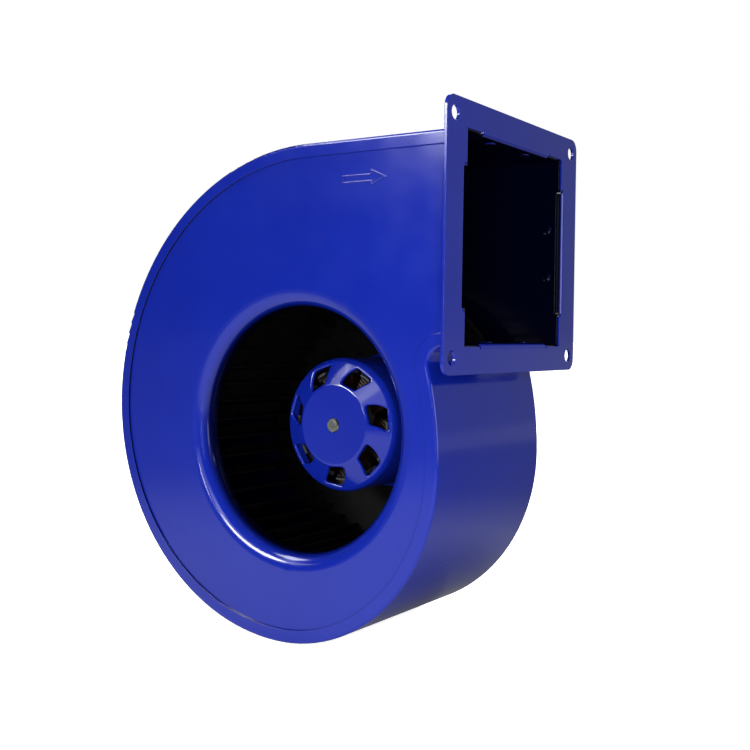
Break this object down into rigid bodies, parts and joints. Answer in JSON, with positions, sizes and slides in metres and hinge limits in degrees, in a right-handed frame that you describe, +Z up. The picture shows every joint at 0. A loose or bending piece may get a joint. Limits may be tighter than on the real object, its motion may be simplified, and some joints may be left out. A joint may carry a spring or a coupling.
{
  "type": "centrifugal blower fan",
  "caption": "Single-inlet centrifugal blower: sheet-metal scroll with bell-mouth inlet, square outlet flange, forward-curved impeller and external-rotor DC motor.",
  "frame": {"origin": "centre of the outlet flange's front face, which is also the centre of its bolt pattern", "axes": "+X is the direction of discharge and the flange's normal, the inlet faces -Y, +Z is up; the impeller turns about an axis parallel to Y"},
  "size_m": [0.231, 0.14, 0.2705],
  "materials": {
    "casing_paint": "blue semi-gloss powder paint",
    "rotor_paint": "blue semi-gloss paint on drawn steel",
    "impeller_coating": "black coated galvanised steel",
    "bare_steel": "ground or zinc-plated steel",
    "bearing_steel": "polished bearing steel",
    "cage_steel": "pressed steel",
    "cast_aluminium": "die-cast, as cast",
    "magnet": "sintered ferrite, ground",
    "lamination": "stacked electrical steel",
    "insulator_plastic": "moulded, black",
    "copper_winding": "enamelled copper wire, dark varnish",
    "board": "glass-epoxy board, green",
    "component_black": "moulded epoxy",
    "capacitor_can": "drawn can",
    "seal_rubber": "black rubber",
    "cap_plastic": "black moulded"
  },
  "bodies": {
    "housing": {"bearing_end_cap": "cap_plastic", "board_capacitors": "capacitor_can", "board_controller_chip": "component_black", "board_transistors": "component_black", "cable_grommet": "seal_rubber", "circuit_board": "board", "front_bearing_outer_ring": "bearing_steel", "front_bearing_shields": "bare_steel", "front_insulator": "insulator_plastic", "hall_sensors": "component_black", "inlet_side_plate": "casing_paint", "motor_flange": "cast_aluminium", "motor_gasket": "seal_rubber", "motor_screw_washers": "bare_steel", "motor_screws": "bare_steel", "motor_side_plate": "casing_paint", "outlet_flange": "casing_paint", "preload_spring_washer": "bare_steel", "rear_bearing_outer_ring": "bearing_steel", "rear_bearing_shields": "bare_steel", "rear_insulator": "insulator_plastic", "scroll_wrapper": "casing_paint", "stator_coils": "copper_winding", "stator_core": "lamination", "tab_rivets": "casing_paint"},
    "rotor": {"balance_clips": "bare_steel", "disc_rivets": "bare_steel", "front_bearing_inner_ring": "bearing_steel", "impeller_back_disc": "impeller_coating", "impeller_blades": "impeller_coating", "impeller_front_ring": "impeller_coating", "rear_bearing_inner_ring": "bearing_steel", "rotor_cup": "rotor_paint", "rotor_hub": "cast_aluminium", "rotor_magnets": "magnet", "shaft": "bare_steel", "shaft_retaining_ring": "bare_steel"},
    "front_cage": {"front_bearing_balls": "bearing_steel", "front_bearing_cage": "cage_steel"},
    "rear_cage": {"rear_bearing_balls": "bearing_steel", "rear_bearing_cage": "cage_steel"}
  },
  "joints": [
    {"name": "impeller_spin", "type": "hinge", "parent": "housing", "child": "rotor", "pos_m": [-0.1014, 0, -0.0961], "axis": [0, 1, 0], "continuous": true},
    {"name": "front_cage_turn", "type": "hinge", "parent": "housing", "child": "front_cage", "pos_m": [-0.1014, 0, -0.0961], "axis": [0, 1, 0], "continuous": true},
    {"name": "rear_cage_turn", "type": "hinge", "parent": "housing", "child": "rear_cage", "pos_m": [-0.1014, 0, -0.0961], "axis": [0, 1, 0], "continuous": true}
  ],
  "couplings": [
    {"joint": "front_cage_turn", "follows": "impeller_spin", "ratio": 0.3677},
    {"joint": "rear_cage_turn", "follows": "impeller_spin", "ratio": 0.3677}
  ]
}
